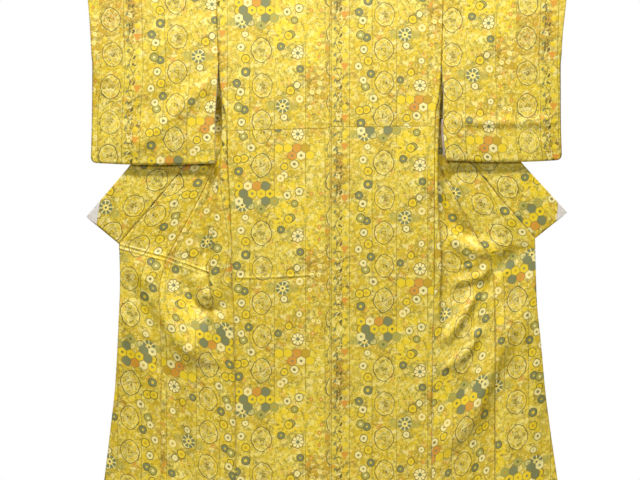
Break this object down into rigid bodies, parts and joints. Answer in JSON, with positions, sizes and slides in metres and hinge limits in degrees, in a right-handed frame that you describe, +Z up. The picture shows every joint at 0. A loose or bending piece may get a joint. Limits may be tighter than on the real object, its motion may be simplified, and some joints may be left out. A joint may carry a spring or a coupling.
{
  "type": "kimono on a hanging rod",
  "caption": "Lined kimono hung flat by a straight rod through both sleeves, seen from its back, with both fronts turned out to the sides.",
  "frame": {"origin": "middle of the rod's axis, above the centre back seam of the garment", "axes": "+Z up, +X along the rod to the right as seen from the garment's back, -Y out of the garment's back face"},
  "size_m": [1.44, 0.0837, 1.6509],
  "materials": {
    "patterned_silk": "soft silk with a satin sheen, dyed all over in mustard, cream and grey-blue",
    "collar_lining": "plain pale silk",
    "sleeve_lining": "plain mauve-beige silk",
    "rod_wood": "plain planed pale wood, unvarnished"
  },
  "bodies": {
    "root": {"rod": "rod_wood", "body_left": "patterned_silk", "body_right": "patterned_silk", "overlap_left": "patterned_silk", "overlap_right": "patterned_silk", "collar": "patterned_silk", "sleeve_left": "patterned_silk", "sleeve_right": "patterned_silk", "collar_tip_lining_left": "collar_lining", "collar_tip_lining_right": "collar_lining", "sleeve_lining_right": "sleeve_lining"}
  },
  "joints": []
}
